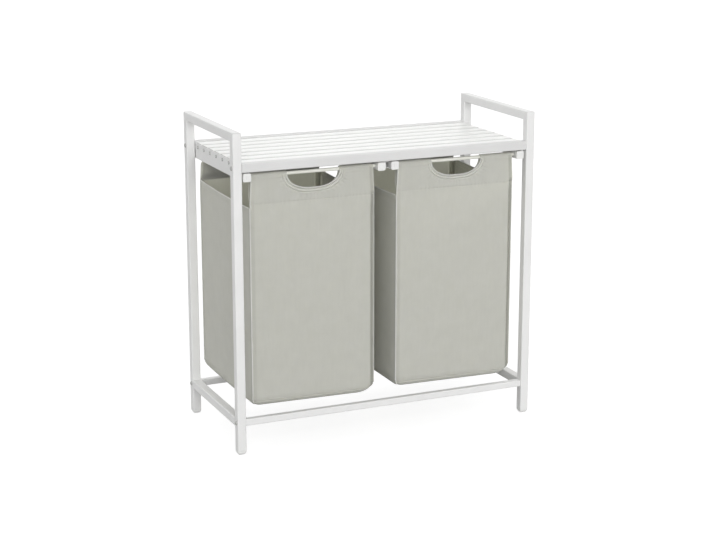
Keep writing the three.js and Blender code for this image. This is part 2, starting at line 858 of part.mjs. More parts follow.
function addSlideRails(group) {
  for (const side of sides) {
    const screws = railScrews.filter((screw) => screw.name.startsWith("right"));
    const solid = drilledRail(outerRailSolid(), railFaceX, screws);
    const x = side.sign * railFaceX;
    const rail = place(group, `slide_rail_${side.name}`, solid, "plastic", x, 0, railBottom);
    rail.scale.x = side.sign;
  }
  const centreScrews = railScrews.filter((screw) => screw.name.startsWith("centre"));
  const centre = drilledRail(centreRailSolid(), 0, centreScrews);
  place(group, "slide_rail_centre", centre, "plastic", 0, 0, railBottom);
  for (const screw of railScrews) {
    const name = `rail_screw_${screw.name}`;
    place(group, name, railScrewSolid(0), "screw", screw.x, screw.y, railScrewLevel);
  }
}

// One bin in its own group, which slides along -Y
function addBin(group, prefix, binSide) {
  const bin = new THREE.Group();
  bin.position.x = binSide * binOffset;
  group.add(bin);
  place(bin, `${prefix}_bag`, bagSolid(), "cloth", 0, 0, 0);
  const rodEnd = blockInnerX + rodSocketDepth - seatGap;
  const crossRod = rodSolid("x", rodRadius, -rodEnd, rodEnd);
  place(bin, `${prefix}_front_rod`, crossRod, "rod", 0, frontRodY, rodLevel);
  place(bin, `${prefix}_back_rod`, crossRod, "rod", 0, backRodY, rodLevel);
  for (const side of sides) {
    const x = side.sign * sideRodX;
    const sideRod = rodSolid("y", sideRodRadius, sideRodFront, sideRodBack);
    place(bin, `${prefix}_side_rod_${side.name}`, sideRod, "rod", x, 0, rodLevel);
    for (const end of ends) {
      const name = `${prefix}_glider_${end.name}_${side.name}`;
      const glider = place(bin, name, gliderSolid(end.name), "plastic", 0, 0, 0);
      glider.scale.x = side.sign;
    }
  }
}

addSideFrames(hamper);
addCrossTubes(hamper);
addShelf(hamper);
addSlideRails(hamper);
addBin(hamper, "left_bin", -1);
addBin(hamper, "right_bin", 1);

export default hamper;
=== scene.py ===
import bisect
import json
import math
from collections import namedtuple

import bmesh
import bpy
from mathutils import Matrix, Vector, noise


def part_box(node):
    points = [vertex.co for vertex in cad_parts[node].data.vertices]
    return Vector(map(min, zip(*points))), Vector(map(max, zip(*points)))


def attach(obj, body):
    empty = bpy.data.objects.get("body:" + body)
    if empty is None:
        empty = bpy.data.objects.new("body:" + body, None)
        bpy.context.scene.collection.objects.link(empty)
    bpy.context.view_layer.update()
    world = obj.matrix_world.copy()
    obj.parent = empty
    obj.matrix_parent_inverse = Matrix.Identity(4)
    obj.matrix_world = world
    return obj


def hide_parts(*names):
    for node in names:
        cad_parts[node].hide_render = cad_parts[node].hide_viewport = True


# Laundry hamper with two fabric bins, dressed around its frame. Lengths are in metres, +Z is up
# and the front of the hamper faces -Y.
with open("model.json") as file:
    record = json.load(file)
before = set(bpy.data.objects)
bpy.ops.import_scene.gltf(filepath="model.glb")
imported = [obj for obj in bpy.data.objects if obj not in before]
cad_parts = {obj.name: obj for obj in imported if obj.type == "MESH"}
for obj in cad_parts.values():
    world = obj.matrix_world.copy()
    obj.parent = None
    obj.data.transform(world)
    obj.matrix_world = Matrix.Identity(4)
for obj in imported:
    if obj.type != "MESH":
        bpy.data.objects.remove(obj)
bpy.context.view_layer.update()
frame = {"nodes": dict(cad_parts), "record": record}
nodes = frame["nodes"]

# Camera: place, turn towards +X, tilt down, roll and focal length on a 36 mm sensor
CAMERA_PLACE = (-1.55793, -3.51031, 1.32261)
CAMERA_TURN = 23.905
CAMERA_TILT = 14.246
CAMERA_ROLL = 0.038
CAMERA_LENS = 85.51
SENSOR_WIDTH = 36
CAMERA_REACH = 200       # how far it sees

# Light: strength of the sky, and strength, turn, height and size in degrees of the lamps
SKY_STRENGTH = 0.40
KEY_LAMP = (2.55, -10, 14, 60)
SIDE_LAMP = (0.6, -85, 14, 70)
FILL_LAMP = (1.2, 114, 14, 50)
BACK_LAMP = (1.0, 178, 25, 80)
FLOOR_SIZE = 60
FLOOR_COLOUR = 0.36
FLOOR_GLOW = 0.8

# Bags: measures of the cloth in metres, where -1 is a bag's left side and 1 its right side
CAD_FLARE = 0.008        # how far the sides of the CAD bags stand out at the back
FLARES = {"left": {-1: 0.008, 1: -0.0066}, "right": {-1: 0.008, 1: 0.002}}
FADE_LOW = 0.0238        # where the flare starts to fade, below the rods
FADE_HIGH = 0.0098       # where it has faded
CLOTH = 0.0015           # thickness
WELD = 0.00001           # distance within which the points of neighbouring grids are joined
SHARP_ANGLE = 55         # of an edge that stays sharp, in degrees
SIDE_DROP = 0.076        # from the top of the hems to the side rims, at the front
RIM_RISE = 0.009         # of the side rims, from front to back
RIM_SAG = 0.002          # of the side rims, half way
RIM_BAND = 0.0125        # height of the turned edge along the side rims
RIM_SEAM = 0.0098        # how far below the rim it is stitched
RIM_SEAM_SINK = 0.0006
RIM_SEAM_WIDTH = 0.0009
RIM_FOLD = 0.0009        # how far the turned edge stands out
RIM_FOLD_STEP = 0.0012   # height over which it comes out
RIM_FOLD_START = 0.003   # from the upright edges to where it starts to stand out
RIM_FOLD_FADE = 0.006
HEM_DEPTH = 0.068        # from the top of a hem to its seam
HEM_CLOSURE = 0.022      # height over which the two plies part, above the seam
HEM_FOOT = 0.0032        # from a panel's face to that of its hem's inner ply, at the seam
HEM_FLATTENS = 0.02      # height over which the ends of the hems lose the bend of the corners
END_DRAW = 0.004         # how far the ends of the hems are drawn in at the rods
CORNER_RADII = {-1: 0.006, 1: 0.016}
CORNER_HIGHLIGHT = {-1: 1.0, 1: 0.5}     # how strong the painted highlight on the ridges of the upright edges is
HIGHLIGHT_WIDTH = 0.0024      # of the painted highlight on each side of a sewn ridge
CORNER_SHADE_WIDTH = 0.0125          # width of the painted shade along the upright edges
CORNER_SHADE_FADE = 0.003
CORNER_SHADE = {-1: 0.2, 1: 0.95}  # how much painted shade darkens the cloth along the upright edges, from 0 to 1
# Painted shade on the turned bottom edge, and the height up to which it lies
BOTTOM_SHADE = 0.3
BOTTOM_SHADE_TOP = 0.012
PINCH_WIDTH = 0.0011     # half the thickness of the sewn ridge on each upright edge
PINCH_REACH = 0.0016     # how far the ridge stands out of the corner
DART_PLACE = 0.009       # of the stitched line beside each ridge
DART_DEPTHS = {-1: 0.0006, 1: 0.0032}
DART_WIDTH = 0.0026
NOTCH_HALF = 0.064
NOTCH_DEPTH = 0.0405
NOTCH_FLAT = 0.010       # half the straight stretch at the bottom of the notch
NOTCH_ARC = NOTCH_HALF - NOTCH_FLAT
NOTCH_SEAMS = (0.0042, 0.0100)      # how far from the rim it is stitched
NOTCH_SEAM_SINK = 0.0024
NOTCH_SEAM_WIDTH = 0.0014
NOTCH_BAND = 0.0122      # width of the turned edge round the notch
NOTCH_LEAST_SHARE = 0.001  # keeps off the middle of its arc, where its distance has no slope
NOTCH_CLOSURE = 0.016    # how far round the notch the inner ply lies against the outer one
BACK_RISE = 0.009        # of the bottom, from front to back
BOTTOM_TILT = 0.004      # of the bottom, from the right side to the left one
CORNER_LIFTS = {-1: (0.003, 0.014), 1: (0.0125, 0.036)}  # of the bottom's corners, and their reach
CORNER_LIFT_POWER = 2.4
BAND_SEAM = 0.0158       # height of the stitches above the bottom edge
STITCH_PITCH = 0.0034
STITCH_LENGTH = 0.0025
STITCH_RADIUS = 0.00032
STITCH_PROFILE = (       # share of its length, share of its radius and rise in radii
    (0, 0.4, -0.9), (0.22, 1, 0.2), (0.78, 1, 0.2), (1, 0.4, -0.9),
)
NOISE_STRIDE = 40        # how much further apart than the bags their places in the noise are
NOISE_PLACE = (3.1, 0.7)
YARN_PITCH = 0.0011
YARN_DEPTH = 0.00012
CLOTH_GLOW = 0.7         # share of the light that goes on inside the cloth, and how far it gets
GLOW_REACH = 0.007

# How far each row of the turned bottom edge lies inside the wall, and its height
BAND_PROFILE = (
    (0.0160, 0.0), (0.0125, 0.0004), (0.0092, 0.0014), (0.0066, 0.0030), (0.0046, 0.0048),
    (0.0030, 0.0068), (0.0018, 0.0088), (0.0012, 0.0102), (0.0012, 0.0110), (0.0018, 0.0117),
    (0.0018, 0.0126), (0.0006, 0.0136), (0.0, 0.0150),
)
BAND_PAINTED_LIGHT_HEIGHT = 0.006  # over which the painted light of the upright edges comes up
FOOT_HEIGHT = BAND_PROFILE[-1][1]
# How far the last rows of the walls lie below the rims
RIM_ROWS = (0.0138, 0.0130, 0.0124, 0.0116, 0.0107, 0.0098, 0.0089, 0.007, 0.004, 0.0015, 0.0)

# Relief of the walls: bulge of the panels, waves as size, depth and fade at the upright edges,
# and the slanting creases of the side panels below the gliders
HEMMED_BULGE = 0.0008
SIDE_BULGE = 0.0016
WALL_WAVES = ((0.11, 0.0009, 0.03), (0.035, 0.0003, 0.02))
CREASE_DEPTH = 0.0011
CREASE_PITCH = 0.021
CREASE_SLOPE = 0.7
CREASE_WAVER = 1.6
CREASE_WAVER_SIZE = 0.03
CREASE_INSET = 0.028     # of the middle of the creases from the upright edge
CREASE_DROP = 0.034      # of their middle below the rim
CREASE_REACH = 0.022
WALL_FOOT_FADE = 0.04    # height over which the relief comes up, and that over which it ends
WALL_TOP_FADE = 0.02

# Relief of the hems: the seam and its puckers, waves, and the line pressed by the rod
HEM_SEAM_SINK = 0.0006
HEM_SEAM_WIDTH = 0.0012
PUCKER_DEPTH = 0.00014
PUCKER_PITCH = 0.0095
PUCKER_WAVER = 2.5
PUCKER_WAVER_SIZE = 0.02
PUCKER_REACH = 0.008
HEM_WAVE_SIZE = 0.05
HEM_WAVE_DEPTH = 0.0006
HEM_WAVE_FADE = 0.012
HEM_WAVE_PLACE = 0.4     # in the noise, apart from the waves of the walls
ROD_LINE_DROP = 0.006
ROD_LINE_RISE = 0.0004
ROD_LINE_WIDTH = 0.002
HEM_FOOT_FADE = 0.004    # height over which the relief comes up, and that over which it ends
HEM_TOP_FADE = 0.005
HEM_PAINTED_LIGHT_LOSS = 0.45     # share of the edges' painted light that is gone where the hems lie flat

# Relief of the notch: its turned edge, the lip on it, and the ripples outside its seams, with the
# painted highlight on the lip and the turned edge
NOTCH_FOLD = 0.0009
NOTCH_FOLD_STEP = 0.0016
LIP_PLACE = 0.0008
LIP_RISE = 0.0005
LIP_WIDTH = 0.0012
RIPPLE_DEPTH = 0.0004
RIPPLE_PITCH = 0.0085
RIPPLE_WAVER = 2
RIPPLE_WAVER_SIZE = 0.015
RIPPLE_WAVER_PLACE = 1   # in the noise
RIPPLE_PLACE = 0.015
RIPPLE_REACH = 0.006
RIPPLE_START = 0.011
RIPPLE_FADE = 0.003
LIP_HIGHLIGHT = 0.7           # painted highlight on the lip, and on the turned edge between its two seams
LIP_HIGHLIGHT_WIDTH = 0.0016
FOLD_HIGHLIGHT = 0.25
FOLD_HIGHLIGHT_PLACE = 0.0062
FOLD_HIGHLIGHT_WIDTH = 0.0012

# Rounded edges: half their thickness through the cloth and along it, and how much painted
# highlight they carry
RIM_BEAD = (0.0015, 0.0013, 0.8)
NOTCH_BEAD = (0.0011, 0.0009, 0.6)

# Ends of the rounded edges and of the rows of stitches
BEAD_START = 0.006       # from the upright edges
ROW_START = 0.012
NOTCH_BEAD_END = 0.002   # below the rods
NOTCH_ROW_END = 0.003
UPRIGHT_START = 0.006    # above the stitches of the bottom edge
UPRIGHT_END = 0.002      # below the rims
BESIDE = 0.001           # length of cloth over which its slope is taken

# Grids: how many steps each stretch of the cloth has
FLOOR_RINGS = 12
WALL_ROWS = 36
FRONT_HEM_ROWS = 48
BACK_HEM_ROWS = 26
SLEEVE_ROWS = 10
INNER_PLY_ROWS = 24
FRONT_COLUMNS = (6, 34, 17, 24)  # over the notch's flat stretch and curve, beside it, and beyond
NOTCH_MARGIN = 0.002     # from its turned edge to where the columns lie further apart
BACK_COLUMNS = 60
SIDE_COLUMNS = 52
CORNER_COLUMNS = 6
RIDGE_COLUMNS = 3
NOTCH_STEPS = 40
UPRIGHT_STEPS = 60
BEAD_SIDES = 10
STITCH_SIDES = 6

# Screw heads on the end plates: radius, share of it and height along the dome, and the recess
HEAD_RADIUS = 0.0040
HEAD_PROFILE = (
    (1.0, 0.0), (1.0, 0.0008), (0.92, 0.0013), (0.8, 0.0016), (0.62, 0.0019), (0.58, 0.0019),
    (0.4, 0.0021), (0.2, 0.0022), (0.04, 0.0022),
)
HEAD_SIDES = 32
RECESS_REACH_SHARE = 0.6
RECESS_ARM = 0.0011      # half the width of the cross's arms
RECESS_DEPTH = 0.0012


def linear(shade):
    """An sRGB shade from 0 to 255 as a linear value."""
    share = shade / 255
    return share / 12.92 if share <= 0.04045 else ((share + 0.055) / 1.055) ** 2.4


def colour(red, green, blue):
    return (linear(red), linear(green), linear(blue), 1)


class Surface:
    """A material with a Principled shader, and short ways to add nodes to it."""

    def __init__(self, name, base, roughness, metallic=0.0):
        """The base colour and the roughness are the middle values that the nodes vary."""
        self.material = bpy.data.materials.new(name)
        self.material.use_nodes = True
        self.tree = self.material.node_tree
        self.shader = self.tree.nodes["Principled BSDF"]
        self.shader.inputs["Base Color"].default_value = base
        self.shader.inputs["Roughness"].default_value = roughness
        self.shader.inputs["Metallic"].default_value = metallic
        coordinates = self.add("ShaderNodeTexCoord")
        self.places = coordinates.outputs["Object"]
        self.directions = coordinates.outputs["Normal"]

    def add(self, kind, **values):
        node = self.tree.nodes.new(kind)
        for key, value in values.items():
            setattr(node, key, value)
        return node

    def link(self, output, target):
        self.tree.links.new(output, target)

    def value(self, operation, *inputs):
        """The output of a Math node whose inputs are numbers or outputs."""
        node = self.add("ShaderNodeMath", operation=operation)
        for socket, given in zip(node.inputs, inputs):
            if isinstance(given, (int, float)):
                socket.default_value = given
            else:
                self.link(given, socket)
        return node.outputs[0]

    def stretched(self, scale):
        """Object places, scaled by a number for each axis."""
        node = self.add("ShaderNodeMapping")
        node.inputs["Scale"].default_value = scale
        self.link(self.places, node.inputs["Vector"])
        return node.outputs["Vector"]

    def noise(self, scale, detail=2.0, vector=None):
        node = self.add("ShaderNodeTexNoise")
        node.inputs["Scale"].default_value = scale
        node.inputs["Detail"].default_value = detail
        self.link(self.places if vector is None else vector, node.inputs["Vector"])
        return node.outputs["Fac"]

    def ramp(self, factor, low, high, start=0.3, end=0.7):
        """A colour between two others, where the factor runs from start to end."""
        node = self.add("ShaderNodeValToRGB")
        node.color_ramp.elements[0].position = start
        node.color_ramp.elements[0].color = low
        node.color_ramp.elements[1].position = end
        node.color_ramp.elements[1].color = high
        self.link(factor, node.inputs["Fac"])
        return node.outputs["Color"]

    def paint(self, output):
        self.link(output, self.shader.inputs["Base Color"])

    def rough(self, factor, low, high):
        node = self.add("ShaderNodeMapRange")
        node.inputs["To Min"].default_value = low
        node.inputs["To Max"].default_value = high
        self.link(factor, node.inputs["Value"])
        self.link(node.outputs["Result"], self.shader.inputs["Roughness"])

    def bump(self, height, depth, strength=1.0):
        """Relief from a height of 0 to 1, as deep as the given metres."""
        node = self.add("ShaderNodeBump")
        node.inputs["Strength"].default_value = strength
        node.inputs["Distance"].default_value = depth
        self.link(height, node.inputs["Height"])
        self.link(node.outputs["Normal"], self.shader.inputs["Normal"])


def powder_coat(name, shade):
    """Satin powder coat of a shade from 0 to 255, with the fine orange peel of such a coat."""
    def tint(change):
        return colour(shade + change, shade + change, shade + change - 1)

    made = Surface(name, tint(0), 0.42)
    made.paint(made.ramp(made.noise(14), tint(-2), tint(2)))
    made.rough(made.noise(60), 0.5, 0.6)
    made.bump(made.noise(1800, 3), 0.00006)
    made.shader.inputs["Specular IOR Level"].default_value = 0.4
    return made.material


def lacquered_slat():
    """White lacquer over a long grain, with painted shade on the upright faces."""
    made = Surface("white_lacquer", colour(240, 240, 239), 0.4)
    grain = made.noise(1, 4, made.stretched((9, 420, 420)))
    facing = made.add("ShaderNodeSeparateXYZ")
    made.link(made.directions, facing.inputs[0])
    upward = made.value("ABSOLUTE", facing.outputs["Z"])
    broad = made.noise(1, 3, made.stretched((2.5, 60, 60)))
    lacquer = made.ramp(broad, colour(238, 238, 236), colour(242, 242, 241))
    # Painted shade: the upright faces are mixed towards a grey
    side_shade = made.add("ShaderNodeMix", data_type="RGBA")
    made.link(upward, side_shade.inputs["Factor"])
    side_shade.inputs["A"].default_value = colour(204, 204, 202)
    made.link(lacquer, side_shade.inputs["B"])
    made.paint(side_shade.outputs["Result"])
    made.rough(grain, 0.34, 0.5)
    made.bump(grain, 0.00012, 0.6)
    made.shader.inputs["Specular IOR Level"].default_value = 0.35
    return made.material


def moulded_plastic():
    made = Surface("white_plastic", colour(231, 231, 229), 0.45)
    made.paint(made.ramp(made.noise(30), colour(229, 229, 227), colour(233, 233, 231)))
    made.rough(made.noise(90), 0.4, 0.52)
    made.bump(made.noise(2600), 0.00004)
    return made.material


def zinc():
    made = Surface("zinc_plate", colour(166, 166, 163), 0.38, 1.0)
    made.paint(made.ramp(made.noise(420), colour(152, 153, 151), colour(178, 178, 175)))
    made.rough(made.noise(900), 0.26, 0.44)
    made.bump(made.noise(3200), 0.00003)
    return made.material


def coated_rod():
    made = Surface("cream_rod_coat", colour(238, 238, 229), 0.36)
    made.paint(made.ramp(made.noise(40), colour(235, 235, 226), colour(241, 241, 232)))
    made.rough(made.noise(120), 0.3, 0.44)
    made.bump(made.noise(2200), 0.00004)
    return made.material


def grey_cloth():
    """Plain weave of thick and thin yarns, paler with a painted highlight on the folded edges, and
    darker with painted shade along the upright edges and the turned bottom edge."""
    made = Surface("grey_cloth", colour(199, 199, 189), 0.9)
    place = made.add("ShaderNodeSeparateXYZ")
    made.link(made.places, place.inputs[0])
    across = made.value("ADD", place.outputs["X"], place.outputs["Y"])
    turn = math.pi / YARN_PITCH
    warp = made.value("SINE", made.value("MULTIPLY", across, turn))
    weft = made.value("SINE", made.value("MULTIPLY", place.outputs["Z"], turn))
    over = made.value("GREATER_THAN", made.value("MULTIPLY", warp, weft), 0)
    under = made.value("SUBTRACT", 1, over)
    warp_round = made.value("ABSOLUTE", warp)
    weft_round = made.value("ABSOLUTE", weft)
    warp_dip = made.value("MULTIPLY_ADD", weft_round, 0.4, 0.6)
    weft_dip = made.value("MULTIPLY_ADD", warp_round, 0.4, 0.6)
    warp_crown = made.value("MULTIPLY", warp_round, warp_dip)
    weft_crown = made.value("MULTIPLY", weft_round, weft_dip)
    warp_seen = made.value("MULTIPLY", over, warp_crown)
    weft_seen = made.value("MULTIPLY", under, weft_crown)
    weave = made.value("ADD", warp_seen, weft_seen)
    slubs = made.noise(1, 3, made.stretched((180, 180, 26)))
    relief = made.value("MULTIPLY_ADD", slubs, 0.5, weave)
    mottle = made.noise(34, 5)
    tone = made.value("MULTIPLY_ADD", slubs, 0.35, made.value("MULTIPLY", mottle, 0.65))
    plain = made.ramp(tone, colour(197, 197, 187), colour(201, 201, 191), 0.36, 0.64)
    # Painted highlight: the cloth turns paler where the painted light is above 0
    painted_lightness = made.add("ShaderNodeMix", data_type="RGBA")
    painted_light = made.add("ShaderNodeAttribute", attribute_name="painted_light")
    made.link(painted_light.outputs["Fac"], painted_lightness.inputs["Factor"])
    made.link(plain, painted_lightness.inputs["A"])
    painted_lightness.inputs["B"].default_value = colour(230, 230, 224)
    # Painted shade: the cloth turns darker where the painted light is below 0
    painted_shade = made.add("ShaderNodeMix", data_type="RGBA")
    made.link(made.value("MULTIPLY", painted_light.outputs["Fac"], -1), painted_shade.inputs["Factor"])
    made.link(painted_lightness.outputs["Result"], painted_shade.inputs["A"])
    painted_shade.inputs["B"].default_value = colour(156, 156, 147)
    made.paint(painted_shade.outputs["Result"])
    made.shader.inputs["Subsurface Weight"].default_value = CLOTH_GLOW
    made.shader.inputs["Subsurface Radius"].default_value = (1, 1, 0.9)
    made.shader.inputs["Subsurface Scale"].default_value = GLOW_REACH
    made.shader.inputs["Sheen Weight"].default_value = 0.04
    made.shader.inputs["Sheen Roughness"].default_value = 0.6
    made.shader.inputs["Specular IOR Level"].default_value = 0.12
    made.rough(mottle, 0.84, 0.95)
    made.bump(relief, YARN_DEPTH, 0.45)
    return made.material


def thread():
    made = Surface("grey_thread", colour(193, 193, 183), 0.7)
    strands = made.noise(900, 2)
    made.paint(made.ramp(strands, colour(188, 188, 178), colour(198, 198, 188)))
    made.rough(strands, 0.6, 0.8)
    made.bump(strands, 0.00008)
    return made.material


finishes = {
    "white_steel": powder_coat("white_powder_coat", 231),
    "white_wood": lacquered_slat(),
    "white_plastic": moulded_plastic(),
    "zinc_fastener": zinc(),
    "white_rod": coated_rod(),
    "grey_cloth": grey_cloth(),
    "thread": thread(),
}
# The shelf rails get a darker tone of the powder coat than the rest of the frame
shelf_coat = powder_coat("grey_white_powder_coat", 217)


def dress_nodes():
    """Every CAD node gets the finish of its slot in the record."""
    for entry in frame["record"]["subparts"]:
        piece = nodes[entry["node"]]
        piece.data.materials.clear()
        shelf = entry["node"].startswith("shelf_rail_")
        piece.data.materials.append(shelf_coat if shelf else finishes[entry["material_slot"]])


def sign_of(x):
    """-1 for the left side of a bag, and 1 for its right side."""
    return 1 if x > 0 else -1


def clamp(share):
    return min(1, max(0, share))


def smooth(share):
    """A share kept from 0 to 1 and eased at both ends."""
    share = clamp(share)
    return share * share * (3 - 2 * share)


def peak(distance, width):
    """A rounded peak that is 1 where the distance is 0."""
    return math.exp(-((distance / width) ** 2))


def spread(low, high, count):
    """Evenly spaced numbers from low to high, both of them included."""
    return [low + (high - low) * step / count for step in range(count + 1)]


def round_turn(count):
    """Evenly spaced angles round a full turn."""
    return spread(0, 2 * math.pi, count)[:-1]


class Cloth:
    """Points and faces of a sheet, gathered grid by grid. Each point has a number for the painted
    light on its cloth: above 0 a painted highlight, below 0 painted shade."""

    def __init__(self):
        self.points = []
        self.painted_light = []
        self.faces = []

    def grid(self, rows, closed=False):
        """Faces between rows of (point, painted light); the rows run along the sheet's width."""
        first = len(self.points)
        count = len(rows[0])
        for row in rows:
            self.points += [point for point, painted_lightness in row]
            self.painted_light += [painted_lightness for point, painted_lightness in row]
        for level in range(len(rows) - 1):
            for i in range(count if closed else count - 1):
                a = first + level * count + i
                b = first + level * count + (i + 1) % count
                self.faces.append((a, b, b + count, a + count))

    def tube(self, rings, painted_lightness=0.0):
        """A tube through rings of points, with closed ends."""
        first = len(self.points)
        count = len(rings[0])
        self.grid([[(point, painted_lightness) for point in ring] for ring in rings], closed=True)
        last = first + (len(rings) - 1) * count
        self.faces.append(tuple(first + i for i in reversed(range(count))))
        self.faces.append(tuple(last + i for i in range(count)))

    def object(self, name, thickness=0.0):
        """The sheet as an object, given a thickness towards the side that its faces turn away
        from. Without one it is made of closed tubes."""
        mesh = bpy.data.meshes.new(name)
        mesh.from_pydata([tuple(point) for point in self.points], [], self.faces)
        painted_light = mesh.attributes.new("painted_light", "FLOAT", "POINT")
        painted_light.data.foreach_set("value", self.painted_light)
        joined = bmesh.new()
        joined.from_mesh(mesh)
        if thickness:
            bmesh.ops.remove_doubles(joined, verts=joined.verts, dist=WELD)
        else:
            bmesh.ops.recalc_face_normals(joined, faces=joined.faces)
        joined.to_mesh(mesh)
        joined.free()
        made = bpy.data.objects.new(name, mesh)
        bpy.context.scene.collection.objects.link(made)
        if thickness:
            solid = made.modifiers.new("thickness", "SOLIDIFY")
            solid.thickness = thickness
            solid.offset = -1
            baked = bpy.data.meshes.new_from_object(
                made.evaluated_get(bpy.context.evaluated_depsgraph_get())
            )
            made.modifiers.clear()
            made.data = baked
            bpy.data.meshes.remove(mesh)
            baked.name = name
        made.data.polygons.foreach_set("use_smooth", [True] * len(made.data.polygons))
        made.data.set_sharp_from_angle(angle=math.radians(SHARP_ANGLE))
        return made


PANEL_FRONT, PANEL_RIGHT, PANEL_BACK, PANEL_LEFT = range(4)
HEMMED = (PANEL_FRONT, PANEL_BACK)
OUTWARD = {
    PANEL_FRONT: Vector((0, -1, 0)), PANEL_RIGHT: Vector((1, 0, 0)),
    PANEL_BACK: Vector((0, 1, 0)), PANEL_LEFT: Vector((-1, 0, 0)),
}
# The sides of the bag on which a panel's first and last corner lie
PANEL_ENDS = {PANEL_FRONT: (-1, 1), PANEL_RIGHT: (1, 1), PANEL_BACK: (1, -1), PANEL_LEFT: (-1, -1)}


class Bag:
    """Shape of one bag, worked out from the boxes of its CAD solid and its rods."""

    def __init__(self, side):
        self.body = f"{side}_bin"
        self.flares = FLARES[side]
        low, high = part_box(f"{self.body}_bag")
        rod_low, rod_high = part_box(f"{self.body}_front_rod")
        self.middle = (low.x + high.x) / 2
        self.half = (high.x - low.x) / 2 - CAD_FLARE
        self.front, self.back = low.y, high.y
        self.centre = (low.y + high.y) / 2
        self.depth = high.y - low.y
        self.bottom, self.top = low.z, high.z
        self.rod_level = (rod_low.z + rod_high.z) / 2
        self.sleeve = self.top - self.rod_level
        self.rim = self.top - SIDE_DROP
        self.seam = self.top - HEM_DEPTH
        self.notch_bottom = self.top - NOTCH_DEPTH
        self.notch_rise = self.rod_level - self.notch_bottom
        self.seed = Vector((self.middle * NOISE_STRIDE, *NOISE_PLACE))

    def share(self, y):
        """Share of the way from the front of the bag to its back."""
        return clamp((y - self.front) / self.depth)

    def flare(self, sign, y, z):
        """How far a side stands out of the box of the section."""
        fade = (self.rod_level - FADE_HIGH - z) / (FADE_LOW - FADE_HIGH)
        return self.flares[sign] * clamp(fade) * math.sin(self.share(y) * math.pi / 2)

    def placed(self, x, y, z):
        """A point of the section at y and z, with the flare, the draw and the bag's place."""
        climb = clamp((z - self.rim) / (self.rod_level - self.rim))
        reach = self.half - END_DRAW * climb + self.flare(sign_of(x), y, z)
        return Vector((self.middle + x * reach / self.half, y, z))

    def plane(self, panel):
        return self.front if panel == PANEL_FRONT else self.back

    def wall_top(self, panel, y):
        """Level of a side rim, or of the rims' ends for the two panels that have hems."""
        share = self.share(self.plane(panel) if panel in HEMMED else y)
        return self.rim + RIM_RISE * share - 4 * RIM_SAG * share * (1 - share)

    def bottom_at(self, x, y):
        """Level of the bottom, which is tilted and lifted at its corners."""
        lift, reach = CORNER_LIFTS[sign_of(x)]
        away = max(self.half - abs(x), min(y - self.front, self.back - y))
        corner = lift * max(0, 1 - away / reach) ** CORNER_LIFT_POWER
        tilt = BOTTOM_TILT * (self.half - x) / (2 * self.half)
        return self.bottom + tilt + BACK_RISE * self.share(y) + corner

    def uneven(self, x, y, z, size, depth):
        """Soft unevenness of the cloth, as a height."""
        return depth * noise.noise(Vector((x, y, z)) / size + self.seed)


class Corner:
    """Half of a sewn corner, from the end of the flat panel to the tip of its ridge. Its path
    holds places from the corner of the box, where x runs along the panel and y into the bag,
    and the cloth's length from the flat panel."""

    def __init__(self, radius):
        self.radius = radius
        self.path = []
        bend = math.pi / 4 - math.asin(PINCH_WIDTH / radius)
        for angle in spread(0, bend, CORNER_COLUMNS)[1:]:
            x = radius * (math.sin(angle) - 1)
            y = radius * (1 - math.cos(angle))
            self.path.append((x, y, radius * angle))
        out = math.sqrt(0.5)
        reach = radius * (1 - out)
        along = self.path[-1][2] + PINCH_REACH
        for angle in spread(0, math.pi / 2, RIDGE_COLUMNS):
            forward = PINCH_REACH + PINCH_WIDTH * math.sin(angle)
            aside = PINCH_WIDTH * math.cos(angle)
            x = -reach + (forward - aside) * out
            y = reach - (forward + aside) * out
            self.path.append((x, y, along + PINCH_WIDTH * angle))
        self.cloth = self.path[-1][2]


CORNERS = {sign: Corner(radius) for sign, radius in CORNER_RADII.items()}

# A place of a panel's section: x and y below the rims, the cloth's length to the nearest ridge,
# and the place's share of the way from the panel's middle to its sides
Column = namedtuple("Column", "x y tip share")


def notch_level(bag, x):
    """Lowest level of the notch over a place along the front panel."""
    reach = clamp((abs(x) - NOTCH_FLAT) / NOTCH_ARC)
    return bag.rod_level - bag.notch_rise * math.sqrt(1 - reach * reach)


def notch_distance(bag, x, z):
    """Distance from the rim of the notch, and the place along the rim."""
    if z > bag.rod_level:
        return abs(x) - NOTCH_HALF, NOTCH_ARC * math.pi / 2 + z - bag.rod_level
    if abs(x) < NOTCH_FLAT:
        return bag.notch_bottom - z, abs(x) - NOTCH_FLAT
    across = (abs(x) - NOTCH_FLAT) / NOTCH_ARC
    down = (bag.rod_level - z) / bag.notch_rise
    size = max(NOTCH_LEAST_SHARE, math.hypot(across, down))
    slope = math.hypot(across / NOTCH_ARC, down / bag.notch_rise) / size
    return (size - 1) / slope, math.atan2(across, down) * NOTCH_ARC


def notch_places(bag, away):
    """Places x and z along a line outside the rim of the notch, from left to right."""
    half = []
    for angle in spread(0, math.pi / 2, NOTCH_STEPS):
        aside, down = math.sin(angle) / NOTCH_ARC, math.cos(angle) / bag.notch_rise
        size = math.hypot(aside, down)
        x = NOTCH_FLAT + NOTCH_ARC * math.sin(angle) + away * aside / size
        z = bag.rod_level - bag.notch_rise * math.cos(angle) - away * down / size
        half.append((x, z))
    return [(-x, z) for x, z in reversed(half)] + half


def front_places(edge):
    """Places from the middle of the front panel to an edge, closer together round the notch."""
    over_flat, over_turn, over_band, beyond = FRONT_COLUMNS
    far = NOTCH_HALF + NOTCH_BAND + NOTCH_MARGIN
    flat = spread(0, NOTCH_FLAT, over_flat)
    angles = spread(0, math.pi / 2, over_turn)[1:]
    turn = [NOTCH_FLAT + NOTCH_ARC * math.sin(angle) for angle in angles]
    return flat + turn + spread(NOTCH_HALF, far, over_band)[1:] + spread(far, edge, beyond)[1:]


